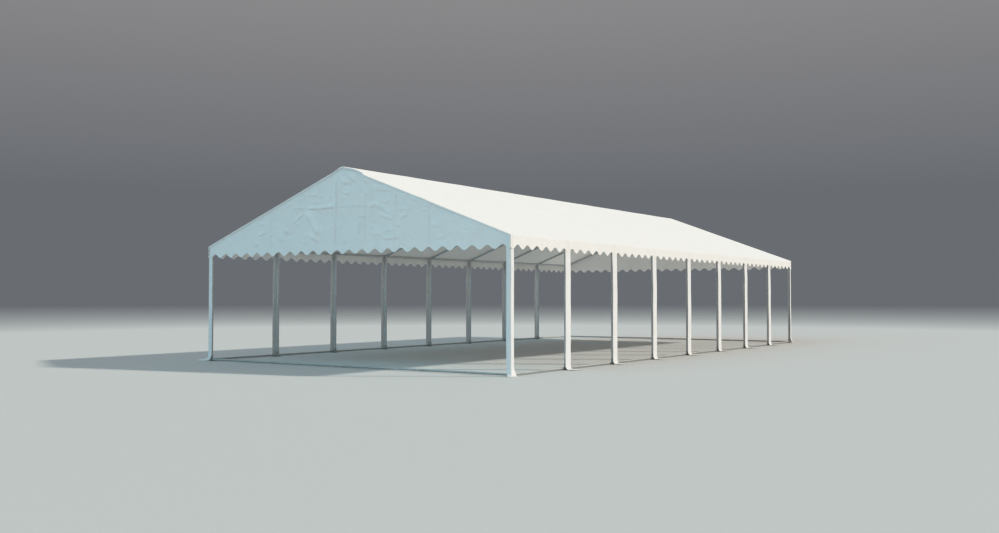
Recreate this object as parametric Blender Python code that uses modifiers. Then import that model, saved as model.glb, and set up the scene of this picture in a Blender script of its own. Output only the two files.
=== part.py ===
"""A white party marquee, 8 m by 16 m, open on all sides: steel frame, pitched roof and scalloped edges.

Metres, +Z up. The origin is on the ground at the middle of the tent. X runs across it and Y along the
ridge, so that the front gable faces -Y, and left is the -X side.
"""

import math

import bmesh
import bpy
from mathutils import Matrix, Vector

# Overall layout
SPAN = 8.0  # across the tent, between the post axes
BAY = 2.0  # along the tent, from one frame to the next
BAYS = 8
EAVE_HEIGHT = 2.56  # outer top edge of the roof cloth
ROOF_RISE = 1.52  # from the eave edge up to the ridge
SIDE_REACH = 0.06  # from a post axis out to the face of the side valance
END_REACH = 0.06  # from an end post axis out to the face of the gable
ROOF_LIP = 0.01  # roof cloth beyond the face of the gable

# Steel tubes
POST_RADIUS = 0.030
TUBE_RADIUS = 0.025  # rafters, eave beams and ridge purlin
RAIL_RADIUS = 0.021
TUBE_SIDES = 12
SLEEVE_WALL = 0.004
SLEEVE_LENGTH = 0.16
ELBOW_LENGTH = 0.20  # each arm of the sleeve at the ridge
COUPLER_LENGTH = 0.14
END_TUBES = 4  # tubes in the bar across each end
PURLIN_LIP = 0.03  # ridge purlin beyond the axes of the end frames
RAIL_HEIGHT = 0.035
FOOT_SIZE = 0.10
FOOT_THICKNESS = 0.006
FOOT_SLEEVE_TOP = 0.12

# Cloth
CLOTH = 0.004  # thickness of the solids that stand for the cloth
NOTCH_DROP = 0.175  # from the eave edge down to the notches of the scallops
SCALLOP_DEPTH = 0.085
SCALLOPS_PER_BAY = 6
POINTS_PER_SCALLOP = 6
COVER_WIDTH = 0.20
CORNER_WIDTH = 0.10  # of each face of a corner cover
COVER_TOP_DROP = 0.07  # from the eave edge down to the top of a post cover
BEND_RADIUS = 0.07
BEND_POINTS = 4
FLAP_REACH = 0.25  # flap on the ground, from the face of the cover
CORNER_FLAP_REACH = {"left": 0.25, "right": 0.085}

# Gap between pieces that seat on each other, and the distance at which corners of one piece are joined
SEAT = 0.0003
WELD = 0.00001

# Worked out from the sizes above
HALF_SPAN = SPAN / 2
HALF_LENGTH = BAY * BAYS / 2
EAVE_X = HALF_SPAN + SIDE_REACH
RIDGE_HEIGHT = EAVE_HEIGHT + ROOF_RISE
GABLE_Y = HALF_LENGTH + END_REACH
ROOF_Y = GABLE_Y + ROOF_LIP
FRAME_YS = [BAY * i - HALF_LENGTH for i in range(BAYS + 1)]
PITCH = math.atan2(ROOF_RISE, EAVE_X)
SLEEVE_RADIUS = TUBE_RADIUS + SLEEVE_WALL
POST_SLEEVE_RADIUS = POST_RADIUS + SLEEVE_WALL
SCALLOP_PITCH = BAY / SCALLOPS_PER_BAY
COVER_TOP = EAVE_HEIGHT - COVER_TOP_DROP
UP_SLOPE = Vector((-math.cos(PITCH), 0, math.sin(PITCH)))  # on the right-hand side


def roof_top(x):
    """Height of the roof's outer face at x."""
    return RIDGE_HEIGHT - abs(x) * math.tan(PITCH)


def below_roof(x, depth):
    """Height at x of a line that runs below the roof's outer face, depth measured square to it."""
    return roof_top(x) - depth / math.cos(PITCH)


RAFTER_DEPTH = CLOTH + SEAT + SLEEVE_RADIUS
EAVE_AXIS_Z = below_roof(HALF_SPAN, RAFTER_DEPTH)
RIDGE_AXIS_Z = below_roof(0, RAFTER_DEPTH)
PURLIN_Z = below_roof(0, RAFTER_DEPTH + SLEEVE_RADIUS + SEAT + TUBE_RADIUS)


def material(name, color, roughness, metallic):
    made = bpy.data.materials.new(name)
    made.use_nodes = True
    shader = made.node_tree.nodes["Principled BSDF"]
    shader.inputs["Base Color"].default_value = (*color, 1)
    shader.inputs["Roughness"].default_value = roughness
    shader.inputs["Metallic"].default_value = metallic
    return made


def add_object(name, data, surface, location=(0, 0, 0), rotation=(0, 0, 0)):
    made = bpy.data.objects.new(name, data)
    made.location = location
    made.rotation_euler = rotation
    if not data.materials:
        data.materials.append(surface)
    tent.objects.link(made)
    return made


def round_bars(name, bars):
    """One mesh of straight round bars, each (start, end, radius).

    Each bar has flat sides that face along and across the tent, with the corners between them on its radius.
    """
    shape = bmesh.new()
    for start, end, radius in bars:
        along = Vector(end) - Vector(start)
        turn = along.to_track_quat("Z", "Y").to_matrix().to_4x4()
        turn = turn @ Matrix.Rotation(math.pi / TUBE_SIDES, 4, "Z")
        middle = Matrix.Translation((Vector(start) + Vector(end)) / 2)
        bmesh.ops.create_cone(
            shape,
            cap_ends=True,
            segments=TUBE_SIDES,
            radius1=radius,
            radius2=radius,
            depth=along.length,
            matrix=middle @ turn,
        )
    return finished(name, shape)


def sleeves(name, bars):
    """As round_bars, with the flats of each section on the radius, so that cloth and tubes seat on them."""
    across_corners = 1 / math.cos(math.pi / TUBE_SIDES)
    return round_bars(name, [(start, end, radius * across_corners) for start, end, radius in bars])


def plates(name, centres, size):
    shape = bmesh.new()
    for centre in centres:
        place = Matrix.Translation(centre) @ Matrix.Diagonal((*size, 1))
        bmesh.ops.create_cube(shape, size=1, matrix=place)
    return finished(name, shape)


def finished(name, shape):
    made = bpy.data.meshes.new(name)
    shape.to_mesh(made)
    shape.free()
    made.shade_smooth()
    made.set_sharp_from_angle(angle=math.radians(35))
    return made


def evaluated_mesh(item):
    """A copy of the mesh that an object shows, with its modifiers applied."""
    bpy.context.view_layer.update()
    return bpy.data.meshes.new_from_object(item.evaluated_get(bpy.context.evaluated_depsgraph_get()))


def fused(name, meshes):
    """One mesh that is the union of the given ones."""
    parts = [bpy.data.objects.new(mesh.name, mesh) for mesh in meshes]
    for part in parts:
        helpers.objects.link(part)
    body = parts[0]
    for part in parts[1:]:
        union = body.modifiers.new("Union", "BOOLEAN")
        union.operation = "UNION"
        union.object = part
    made = evaluated_mesh(body)
    made.name = name
    for part in parts:
        bpy.data.objects.remove(part)
    return made


def flat_panel(name, outline, thickness):
    """A flat panel in its own XY plane, with the given outline, centred on its thickness."""
    made = bpy.data.curves.new(name, "CURVE")
    made.dimensions = "2D"
    made.fill_mode = "BOTH"
    made.extrude = thickness / 2
    line = made.splines.new("POLY")
    line.points.add(len(outline) - 1)
    for point, (x, y) in zip(line.points, outline):
        point.co = (x, y, 0, 1)
    line.use_cyclic_u = True
    return made


def meshed(outline):
    """The closed mesh of a filled outline."""
    panel = bpy.data.objects.new(outline.name, outline)
    helpers.objects.link(panel)
    made = evaluated_mesh(panel)
    bpy.data.objects.remove(panel)
    shape = bmesh.new()
    shape.from_mesh(made)
    bmesh.ops.remove_doubles(shape, verts=shape.verts[:], dist=WELD)
    shape.to_mesh(made)
    shape.free()
    return made


def scalloped_edge(half_run, half_length):
    """Points from -half_length to +half_length along a scalloped edge.

    The corner posts stand at plus and minus half_run, and a scallop's tip hangs at each."""
    scallops = round(2 * half_run / SCALLOP_PITCH)
    steps = scallops * POINTS_PER_SCALLOP
    inner = [2 * half_run * i / steps - half_run for i in range(steps + 1)]
    edge = []
    for along in (-half_length, *inner, half_length):
        wave = 0.5 + 0.5 * math.cos(math.pi * scallops * (along / half_run + 1))
        edge.append((along, EAVE_HEIGHT - NOTCH_DROP - SCALLOP_DEPTH * wave))
    return edge


def build_posts():
    bottom = FOOT_SLEEVE_TOP + SEAT
    top = EAVE_AXIS_Z - SLEEVE_LENGTH - SEAT
    tube = round_bars("post_tube", [((0, 0, 0), (0, 0, top - bottom), POST_RADIUS)])
    for side, x in (("left", -HALF_SPAN), ("right", HALF_SPAN)):
        for i, y in enumerate(FRAME_YS, 1):
            add_object(f"post_{side}_{i}", tube, steel, (x, y, bottom))


def build_eave_beams():
    """A tube along each eave, with a sleeve down over each post and one up each rafter."""
    for side, x, turn in (("left", -HALF_SPAN, math.pi), ("right", HALF_SPAN, 0)):
        nodes = [Vector((0, y, 0)) for y in FRAME_YS]
        down = Vector((0, 0, -SLEEVE_LENGTH))
        up = UP_SLOPE * SLEEVE_LENGTH
        beam = round_bars("beam_tube", [(nodes[0], nodes[-1], TUBE_RADIUS)])
        post_sleeves = sleeves("post_sleeves", [(n, n + down, POST_SLEEVE_RADIUS) for n in nodes])
        rafter_sleeves = sleeves("rafter_sleeves", [(n, n + up, SLEEVE_RADIUS) for n in nodes])
        mesh = fused(f"eave_beam_{side}", [beam, post_sleeves, rafter_sleeves])
        add_object(f"eave_beam_{side}", mesh, steel, (x, 0, EAVE_AXIS_Z), (0, 0, turn))


def build_roof_arches():
    """Two rafters and the elbow that joins them at the ridge, made as the right half and mirrored."""
    ridge = Vector((0, 0, RIDGE_AXIS_Z))
    past = ridge + UP_SLOPE * ELBOW_LENGTH  # beyond the mirror plane, which cuts it off
    eave = Vector((HALF_SPAN, 0, EAVE_AXIS_Z))
    foot = eave + UP_SLOPE * (SLEEVE_LENGTH + SEAT)
    rafter = round_bars("rafter", [(foot, past, TUBE_RADIUS)])
    elbow = sleeves("elbow", [(ridge - UP_SLOPE * ELBOW_LENGTH, past, SLEEVE_RADIUS)])
    half = fused("roof_arch", [rafter, elbow])
    for i, y in enumerate(FRAME_YS, 1):
        arch = add_object(f"roof_arch_{i}", half, steel, (0, y, 0))
        mirror = arch.modifiers.new("Mirror", "MIRROR")
        mirror.use_axis[0] = True
        mirror.use_bisect_axis[0] = True
        mirror.merge_threshold = WELD


def build_ridge_purlin():
    """It runs in the crook under the elbows of the arches."""
    reach = HALF_LENGTH + PURLIN_LIP
    tube = round_bars("ridge_purlin", [((0, -reach, 0), (0, reach, 0), TUBE_RADIUS)])
    add_object("ridge_purlin", tube, steel, (0, 0, PURLIN_Z))


def build_side_rails():
    """The bar along each side, with its foot plates and the short sleeves that the posts stand in."""
    feet = [Vector((0, y, 0)) for y in FRAME_YS]
    level = Vector((0, 0, RAIL_HEIGHT))
    plate_middle = Vector((0, 0, FOOT_THICKNESS / 2))
    sleeve_top = Vector((0, 0, FOOT_SLEEVE_TOP))
    for side, x in (("left", -HALF_SPAN), ("right", HALF_SPAN)):
        rail = round_bars("rail_tube", [(feet[0] + level, feet[-1] + level, RAIL_RADIUS)])
        stubs = sleeves(
            "foot_sleeves",
            [(foot + plate_middle, foot + sleeve_top, POST_SLEEVE_RADIUS) for foot in feet],
        )
        foot_plates = plates(
            "foot_plates",
            [foot + plate_middle for foot in feet],
            (FOOT_SIZE, FOOT_SIZE, FOOT_THICKNESS),
        )
        mesh = fused(f"ground_rail_{side}", [rail, stubs, foot_plates])
        add_object(f"ground_rail_{side}", mesh, steel, (x, 0, 0))


def build_end_rails():
    """The bar across each end, with a coupler wherever two of its tubes meet."""
    reach = HALF_SPAN - POST_SLEEVE_RADIUS - SEAT
    joints = [SPAN * i / END_TUBES - HALF_SPAN for i in range(1, END_TUBES)]
    half_coupler = COUPLER_LENGTH / 2
    for end, y in (("front", -HALF_LENGTH), ("back", HALF_LENGTH)):
        rail = round_bars("end_tube", [((-reach, 0, 0), (reach, 0, 0), RAIL_RADIUS)])
        couplers = sleeves(
            "couplers",
            [((x - half_coupler, 0, 0), (x + half_coupler, 0, 0), RAIL_RADIUS + SLEEVE_WALL) for x in joints],
        )
        mesh = fused(f"ground_rail_{end}", [rail, couplers])
        add_object(f"ground_rail_{end}", mesh, steel, (0, y, RAIL_HEIGHT))


def build_roof_panels():
    """One panel for each slope. They meet at the seam along the ridge."""
    seam = SEAT / 2
    for side, sign in (("left", -1), ("right", 1)):
        top = [(seam, roof_top(seam)), (EAVE_X, EAVE_HEIGHT)]
        under = [(x, below_roof(x, CLOTH)) for x in (EAVE_X, seam)]
        outline = [(sign * x, z) for x, z in (*top, *under)]
        panel = flat_panel(f"roof_panel_{side}", outline, 2 * ROOF_Y)
        add_object(f"roof_panel_{side}", panel, cloth, rotation=(math.pi / 2, 0, 0))


def build_valances():
    """The scalloped edge that hangs from each eave."""
    top = below_roof(EAVE_X, CLOTH + SEAT)
    outline = scalloped_edge(HALF_LENGTH, GABLE_Y) + [(GABLE_Y, top), (-GABLE_Y, top)]
    for side, sign in (("left", -1), ("right", 1)):
        panel = flat_panel(f"valance_{side}", outline, CLOTH)
        middle = sign * (EAVE_X - CLOTH / 2)
        add_object(f"valance_{side}", panel, cloth, (middle, 0, 0), (math.pi / 2, 0, math.pi / 2))


def build_gables():
    """The triangular curtain at each end, between the two valances and under the roof cloth."""
    half_width = EAVE_X - CLOTH - SEAT
    slope = [(x, below_roof(x, CLOTH + SEAT)) for x in (half_width, 0, -half_width)]
    outline = scalloped_edge(HALF_SPAN, half_width) + slope
    for end, sign in (("front", -1), ("back", 1)):
        panel = flat_panel(f"gable_{end}", outline, CLOTH)
        add_object(f"gable_{end}", panel, cloth, (0, sign * (GABLE_Y - CLOTH / 2), 0), (math.pi / 2, 0, 0))


def cover_outline(reach):
    """The side view of a post cover, as (outward, height): down the post, round the bend, out as a flap."""
    middle = CLOTH + BEND_RADIUS
    angles = [math.pi / 2 * i / BEND_POINTS for i in range(BEND_POINTS + 1)]
    lines = []
    for radius in (BEND_RADIUS, BEND_RADIUS + CLOTH):
        lines.append([(BEND_RADIUS - radius * math.cos(a), middle - radius * math.sin(a)) for a in angles])
    outer, inner = lines
    return [(0, COVER_TOP), *outer, (reach, CLOTH), (reach, 0), *reversed(inner), (-CLOTH, COVER_TOP)]


def corner_cover(name, side, end, reach):
    """The cover of a corner post, which turns round the corner. The side face has the flap.

    Its origin is the outer corner on the ground. side and end are the signs of X and Y of its corner."""
    flapped = meshed(flat_panel(name, cover_outline(reach), CORNER_WIDTH))
    turn = Matrix.Rotation(0 if side > 0 else math.pi, 4, "Z") @ Matrix.Rotation(math.pi / 2, 4, "X")
    flapped.transform(Matrix.Translation((0, -end * CORNER_WIDTH / 2, 0)) @ turn)
    middle = Vector((-side * CORNER_WIDTH / 2, -end * CLOTH / 2, COVER_TOP / 2))
    plain = plates("gable_face", [middle], (CORNER_WIDTH, CLOTH, COVER_TOP))
    return fused(name, [flapped, plain])


def build_post_covers():
    """A strip of cloth over the outside of each post, held behind the valance, with a flap on the ground."""
    face = EAVE_X - CLOTH - SEAT
    end_face = GABLE_Y - CLOTH - SEAT
    straight = flat_panel("post_cover", cover_outline(FLAP_REACH), COVER_WIDTH)
    for side, sign, turn in (("left", -1, math.pi), ("right", 1, 0)):
        for i, y in enumerate(FRAME_YS[1:-1], 2):
            add_object(f"post_cover_{side}_{i}", straight, cloth, (sign * face, y, 0), (math.pi / 2, 0, turn))
        reach = CORNER_FLAP_REACH[side]
        for i, end in ((1, -1), (BAYS + 1, 1)):
            name = f"post_cover_{side}_{i}"
            mesh = corner_cover(name, sign, end, reach)
            add_object(name, mesh, cloth, (sign * face, end * end_face, 0))


def main():
    build_posts()
    build_eave_beams()
    build_roof_arches()
    build_ridge_purlin()
    build_side_rails()
    build_end_rails()
    build_roof_panels()
    build_valances()
    build_gables()
    build_post_covers()


for old in list(bpy.data.objects):
    bpy.data.objects.remove(old)
tent = bpy.data.collections.new("marquee_tent")
helpers = bpy.data.collections.new("helpers")
for group in (tent, helpers):
    bpy.context.scene.collection.children.link(group)
steel = material("galvanised_steel", (0.56, 0.58, 0.60), 0.42, 0.85)
cloth = material("white_canopy_cloth", (0.90, 0.90, 0.89), 0.55, 0.0)
main()
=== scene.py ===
"""Looks of the marquee tent: coated white cloth over a galvanised tube frame.

Metres, +Z up. The front gable faces -Y, and the sunny side of the tent is +X, its right side.
"""

import math

import bmesh
import bpy
import numpy as np
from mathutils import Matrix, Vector


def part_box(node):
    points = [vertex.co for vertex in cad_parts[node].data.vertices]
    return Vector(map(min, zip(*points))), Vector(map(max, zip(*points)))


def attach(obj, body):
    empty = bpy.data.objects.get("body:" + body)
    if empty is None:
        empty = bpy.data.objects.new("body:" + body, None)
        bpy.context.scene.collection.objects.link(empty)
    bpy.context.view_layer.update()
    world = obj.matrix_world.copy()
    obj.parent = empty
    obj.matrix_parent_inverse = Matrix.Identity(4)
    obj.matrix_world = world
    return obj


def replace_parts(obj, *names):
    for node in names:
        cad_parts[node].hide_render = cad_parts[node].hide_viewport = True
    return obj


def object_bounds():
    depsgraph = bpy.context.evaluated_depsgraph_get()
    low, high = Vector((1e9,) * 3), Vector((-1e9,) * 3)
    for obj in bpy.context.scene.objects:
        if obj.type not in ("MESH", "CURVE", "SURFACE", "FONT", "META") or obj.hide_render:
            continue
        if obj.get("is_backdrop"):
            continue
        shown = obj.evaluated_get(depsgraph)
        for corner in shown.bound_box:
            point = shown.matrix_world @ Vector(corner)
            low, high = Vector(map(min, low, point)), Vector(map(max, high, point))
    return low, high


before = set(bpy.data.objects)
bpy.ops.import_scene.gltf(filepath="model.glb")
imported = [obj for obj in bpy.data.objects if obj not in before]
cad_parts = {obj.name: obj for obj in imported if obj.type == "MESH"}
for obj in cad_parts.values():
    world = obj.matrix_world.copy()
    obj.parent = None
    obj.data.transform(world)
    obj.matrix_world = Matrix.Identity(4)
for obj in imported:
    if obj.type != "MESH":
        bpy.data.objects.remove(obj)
cad_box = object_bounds()


# Sizes that the frame gives

FRAMES = range(1, 10)
SIDES = {"left": -1, "right": 1}
ENDS = {"front": -1, "back": 1}
CAD_CLOTH = 0.004  # thickness of the cloth in the CAD


def box_middle(node):
    low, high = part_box(node)
    return (low + high) / 2


EAVE_X, ROOF_Y, RIDGE_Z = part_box("roof_panel_right")[1]
GABLE_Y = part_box("gable_back")[1].y
TIP_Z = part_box("valance_right")[0].z
COVER_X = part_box("post_cover_right_2")[0].x + CAD_CLOTH / 2
COVER_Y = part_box("post_cover_right_9")[1].y - CAD_CLOTH / 2
COVER_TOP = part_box("post_cover_right_2")[1].z
HALF_SPAN = box_middle("post_right_1").x
FRAME_Y = {i: box_middle(f"post_right_{i}").y for i in FRAMES}
BAY = FRAME_Y[2] - FRAME_Y[1]
HALF_LENGTH = FRAME_Y[9]
PURLIN_START, PURLIN_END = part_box("ridge_purlin")
RAIL_START, RAIL_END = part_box("ground_rail_front")

# Sizes of the cloth

EAVE_Z = 2.56
VALANCE_TOP = EAVE_Z - 0.03  # below here the roof cloth hangs
SCALLOP_PITCH = BAY / 6
SCALLOP_DEPTH = 0.085
EAVE_ROUNDING = 0.022
RIDGE_ROUNDING = 0.045
CORNER_ROUNDING = 0.022
SHARPEST_ROUNDING = 0.0005
HEM_ROUNDING = 0.006  # where the roof turns down over a gable
HEM_DEPTH = 0.022
GABLE_EDGE = EAVE_X - 0.025
CLOTH_THICKNESS = 0.0012

SLOPE = math.atan2(RIDGE_Z - EAVE_Z, EAVE_X)
SLOPE_NORMAL = Vector((math.sin(SLOPE), 0, math.cos(SLOPE)))

# How finely the sheets are divided

EAVE_ROWS = 7
SLOPE_ROWS = 74
RIDGE_ROWS = 5
VALANCE_ROWS = 12
STEPS_PER_SCALLOP = 10
HEM_STEPS = 3
GABLE_COLUMNS = 600
GABLE_ROWS = 118
COVER_COLUMNS = 13
FACE_COLUMNS = 7  # on each face of a corner cover
TURN_COLUMNS = 6  # and round its corner
DROP_ROWS = 64
BEND_ROWS = 12
FLAP_ROWS = 12


# Noise and creases

NOISE_CELLS = 64  # each way, before the noise repeats
NOISE_SHIFT = (11.3, 7.7)
LONGEST_RUN_OUT = 0.16  # of a fold, at each of its ends
CRUMPLE_STRETCHES = 3
CRUMPLE_BEND = 0.6  # radians from one stretch to the next
CRUMPLE_HEIGHTS = (0.35, 1.3)  # lowest and highest, as shares of the height asked for


def fade(t):
    return t * t * t * (t * (t * 6 - 15) + 10)


def value_noise(x, y, cell, seed):
    """Smooth noise from -1 to 1, whose bumps are about one cell across."""
    table = np.random.default_rng(seed).uniform(-1, 1, (NOISE_CELLS, NOISE_CELLS))
    x = np.asarray(x, float) / cell + NOISE_SHIFT[0]
    y = np.asarray(y, float) / cell + NOISE_SHIFT[1]
    column, row = np.floor(x).astype(int), np.floor(y).astype(int)
    u, v = fade(x - column), fade(y - row)

    def corner(i, j):
        return table[(column + i) % NOISE_CELLS, (row + j) % NOISE_CELLS]

    low = corner(0, 0) * (1 - u) + corner(1, 0) * u
    high = corner(0, 1) * (1 - u) + corner(1, 1) * u
    return low * (1 - v) + high * v


def layered_noise(x, y, seed, layers):
    """Noise of several sizes in one. layers are (height, cell), and each takes the next seed."""
    return sum(height * value_noise(x, y, cell, seed + k) for k, (height, cell) in enumerate(layers))


def smooth_step(low, high, value):
    t = np.clip((value - low) / (high - low), 0, 1)
    return t * t * (3 - 2 * t)


def plateau(x, start, full, falling, end):
    """0 up to start, 1 from full to falling, and 0 from end on."""
    return smooth_step(start, full, x) * smooth_step(end, falling, x)


def fold(x, y, points, height, width, gentle=1):
    """A ridge (or, with a height below 0, a furrow) along a chain of points. It runs out at both ends.

    The side to the left of the chain is wider than the other by the factor gentle."""
    points = np.array(points, float)
    steps = np.diff(points, axis=0)
    lengths = np.hypot(*steps.T)
    whole = lengths.sum()
    run_out = min(0.35 * whole, LONGEST_RUN_OUT)
    profile = np.zeros(x.shape)
    passed = 0
    for start, step, length in zip(points, steps / lengths[:, None], lengths):
        t = np.clip((x - start[0]) * step[0] + (y - start[1]) * step[1], 0, length)
        off_x, off_y = x - start[0] - t * step[0], y - start[1] - t * step[1]
        wide = np.where(off_y * step[0] - off_x * step[1] > 0, gentle * width, width)
        from_end = np.minimum(passed + t, whole - passed - t)
        hump = np.exp(-(off_x**2 + off_y**2) / wide**2)
        profile = np.maximum(profile, hump * smooth_step(0, run_out, from_end))
        passed += length
    return height * profile


def crumple(x, y, seed, count, spread, height, lengths, widths=(0.011, 0.02)):
    """Short bent creases at random places inside spread: lowest x, highest x, lowest y, highest y."""
    rng = np.random.default_rng(seed)
    total = np.zeros(x.shape)
    for _ in range(count):
        spot = np.array([rng.uniform(*spread[:2]), rng.uniform(*spread[2:])])
        angle = rng.uniform(0, 2 * math.pi)
        bend = rng.normal(0, CRUMPLE_BEND)
        length = rng.uniform(*lengths)
        line = [spot]
        for _ in range(CRUMPLE_STRETCHES):
            line.append(line[-1] + length / CRUMPLE_STRETCHES * np.array([math.cos(angle), math.sin(angle)]))
            angle += bend
        tall = height * rng.uniform(*CRUMPLE_HEIGHTS) * rng.choice([-1, 1])
        wide = rng.uniform(*widths)
        reach = length + 3 * widths[1]
        near = (np.abs(x - spot[0]) < reach) & (np.abs(y - spot[1]) < reach)
        if near.any():
            total[near] += fold(x[near], y[near], line, tall, wide, gentle=1.8)
    return total


# Meshes

def in_scene(name, data):
    made = bpy.data.objects.new(name, data)
    bpy.context.scene.collection.objects.link(made)
    return made


def mesh_from(name, shape):
    mesh = bpy.data.meshes.new(name)
    shape.to_mesh(mesh)
    shape.free()
    return mesh


def piece(name, mesh, materials):
    made = in_scene(name, mesh)
    for material in materials:
        mesh.materials.append(material)
    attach(made, "root")
    return made


def sheet_object(name, points, material):
    """A sheet through a grid of points, shaded smooth."""
    rows, columns = points.shape[:2]
    index = np.arange(rows * columns).reshape(rows, columns)
    corners = [index[:-1, :-1], index[:-1, 1:], index[1:, 1:], index[1:, :-1]]
    quads = np.stack(corners, axis=-1).reshape(-1, 4)
    mesh = bpy.data.meshes.new(name)
    mesh.from_pydata(points.reshape(-1, 3).tolist(), [], quads.tolist())
    mesh.validate()
    mesh.shade_smooth()
    return piece(name, mesh, [material])


# Scalloped edges

GABLE_SCALLOP_SHIFT = 0.045  # of the gable's last tip on the right, which hangs nearly at the corner


def scalloped_bottom(along, half_run):
    """Height of the scalloped edge. A tip hangs at each corner post, at plus and minus half_run."""
    scallops = round(2 * half_run / SCALLOP_PITCH)
    tip = 0.5 + 0.5 * np.cos(math.pi * scallops * (along / half_run + 1))
    return TIP_Z + SCALLOP_DEPTH * (1 - tip)


def gable_bottom(x):
    return scalloped_bottom(x - GABLE_SCALLOP_SHIFT * np.clip(x / HALF_SPAN, 0, 1), HALF_SPAN)


# Roof

EAVE_SAG = 0.004  # between two frames, at the eave
BELLY_SAG = 0.013  # and how much more halfway up the slope
FRAME_SOFTNESS = 0.1  # of the ridge that each frame presses into the cloth
ROOF_SLACK = ((0.006, 1.1), (0.0033, 0.42), (0.00135, 0.17))  # (height, size) of soft bumps
VALANCE_SWAY = ((0.004, 0.55, 40), (0.0035, 0.2, 44))  # (height, size, seed)
APEX_ROLLS = ((0.018, -0.3, -0.09, -0.06, 0), (0.036, 0.03, 0.3, 0.5, 0.57))  # (height, plateau across)
TIP_LIP = 0.007  # how far the tip at each corner stands off
HEM_COLUMN_GAP = 0.004
PACKING_FOLDS = (0.82, 1.63, 2.44, 3.25)
PACKING_FOLD_WIDTH = 0.05


def eave_profile(depth):
    """Right half of the roof's cross-section, from the eave to the ridge, as (x, height) rows.

    depth is the distance inward from the outer face. The rows start at the top of the valance."""
    wall_x = EAVE_X - depth
    slope_shift = depth / math.cos(SLOPE)
    turn = math.pi / 2 - SLOPE
    rounding = max(EAVE_ROUNDING - depth, SHARPEST_ROUNDING)
    corner_z = RIDGE_Z - wall_x * math.tan(SLOPE) - slope_shift
    centre = (wall_x - rounding, corner_z - rounding * math.tan(turn / 2))
    angles = np.linspace(0, turn, EAVE_ROWS)
    arc = np.stack([centre[0] + rounding * np.cos(angles), centre[1] + rounding * np.sin(angles)], axis=1)
    top_rounding = RIDGE_ROUNDING - depth
    crown = np.linspace(SLOPE, 0, RIDGE_ROWS)
    crown_z = RIDGE_Z - slope_shift - top_rounding / math.cos(SLOPE)
    top = np.stack([top_rounding * np.sin(crown), crown_z + top_rounding * np.cos(crown)], axis=1)
    share = np.linspace(0, 1, SLOPE_ROWS + 2)[1:-1, None]
    slope = arc[-1] * (1 - share) + top[0] * share
    return np.concatenate([arc, slope, top])


def roof_columns():
    """(y, depth) of the columns along the roof. The last ones at each end turn down as the hem."""
    scallops = round(2 * HALF_LENGTH / SCALLOP_PITCH)
    inner = [(y, 0) for y in np.linspace(-HALF_LENGTH, HALF_LENGTH, scallops * STEPS_PER_SCALLOP + 1)]
    turn = np.linspace(0, math.pi / 2, HEM_STEPS + 2)
    start = ROOF_Y - HEM_ROUNDING
    edge = [((HALF_LENGTH + start) / 2, 0)]
    edge += [(start + HEM_ROUNDING * math.sin(a), HEM_ROUNDING * (1 - math.cos(a))) for a in turn]
    edge += [(ROOF_Y, HEM_ROUNDING + HEM_DEPTH * i / HEM_STEPS) for i in range(1, HEM_STEPS + 1)]
    return [(-y, depth) for y, depth in reversed(edge)] + inner + edge


def frame_sag(y):
    """0 at each frame and nearly 1 midway between two, with a soft ridge over each frame."""
    swing = np.abs(np.sin(math.pi * (y - HALF_LENGTH) / BAY))
    return np.sqrt(swing**2 + FRAME_SOFTNESS**2) - FRAME_SOFTNESS


def apex_roll(x):
    """How far the front edge stands up where it rolls over the elbow at the apex, mostly right of it."""
    return sum(height * plateau(x, *across) for height, *across in APEX_ROLLS)


def turn_corners(x, y, z):
    """Turns the hanging part of the roof cloth softly round each corner, with its tip standing off."""
    turn = np.linspace(0, math.pi / 2, HEM_STEPS + 2)
    past_turn = CORNER_ROUNDING + HEM_COLUMN_GAP * np.arange(1, HEM_STEPS + 1)
    in_x = np.append(CORNER_ROUNDING * (1 - np.cos(turn)), past_turn)
    in_y = np.append(CORNER_ROUNDING * (1 - np.sin(turn)), np.zeros(HEM_STEPS))
    for end in ENDS.values():
        columns = np.arange(len(in_x))
        columns = columns[::-1] if end < 0 else columns + x.shape[1] - len(in_x)
        share = smooth_step(0, 0.045, VALANCE_TOP - z[:, columns])
        x[:, columns] += share * (EAVE_X - in_x - x[:, columns])
        y[:, columns] += share * (end * (ROOF_Y - in_y) - y[:, columns])
    lip = TIP_LIP * smooth_step(0.035, 0, z - z[0]) * smooth_step(0.1, 0.03, ROOF_Y - np.abs(y))
    lip *= z < EAVE_Z - 0.1
    return x + lip, y + lip * np.sign(y)


def roof_creases(x, y, sign):
    """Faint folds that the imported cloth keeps, along the roof and across it, and small crumples."""
    rng = np.random.default_rng(60 + sign)
    total = np.zeros(x.shape)
    for line_x in PACKING_FOLDS:
        for start in np.arange(-8, 8):
            if rng.random() < 0.6:
                wander = rng.normal(0, 0.012, 2)
                height = rng.choice([-1, 1]) * rng.uniform(0.003, 0.007)
                ends = ((line_x + wander[0], start), (line_x + wander[1], start + 1.05))
                total += fold(x, y, ends, height, PACKING_FOLD_WIDTH, gentle=2)
    for line_y in np.arange(-7, 8, 2):
        wander = rng.normal(0, 0.02, 2)
        height = rng.choice([-1, 1]) * rng.uniform(0.003, 0.006)
        ends = ((0.3, line_y + wander[0]), (3.7, line_y + wander[1]))
        total += fold(x, y, ends, height, PACKING_FOLD_WIDTH, gentle=2)
    total += crumple(x, y, 70 + sign, 170, (0.2, 3.8, -7.9, 7.9), 0.0065, (0.25, 0.8), (0.045, 0.08))
    return total


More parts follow.
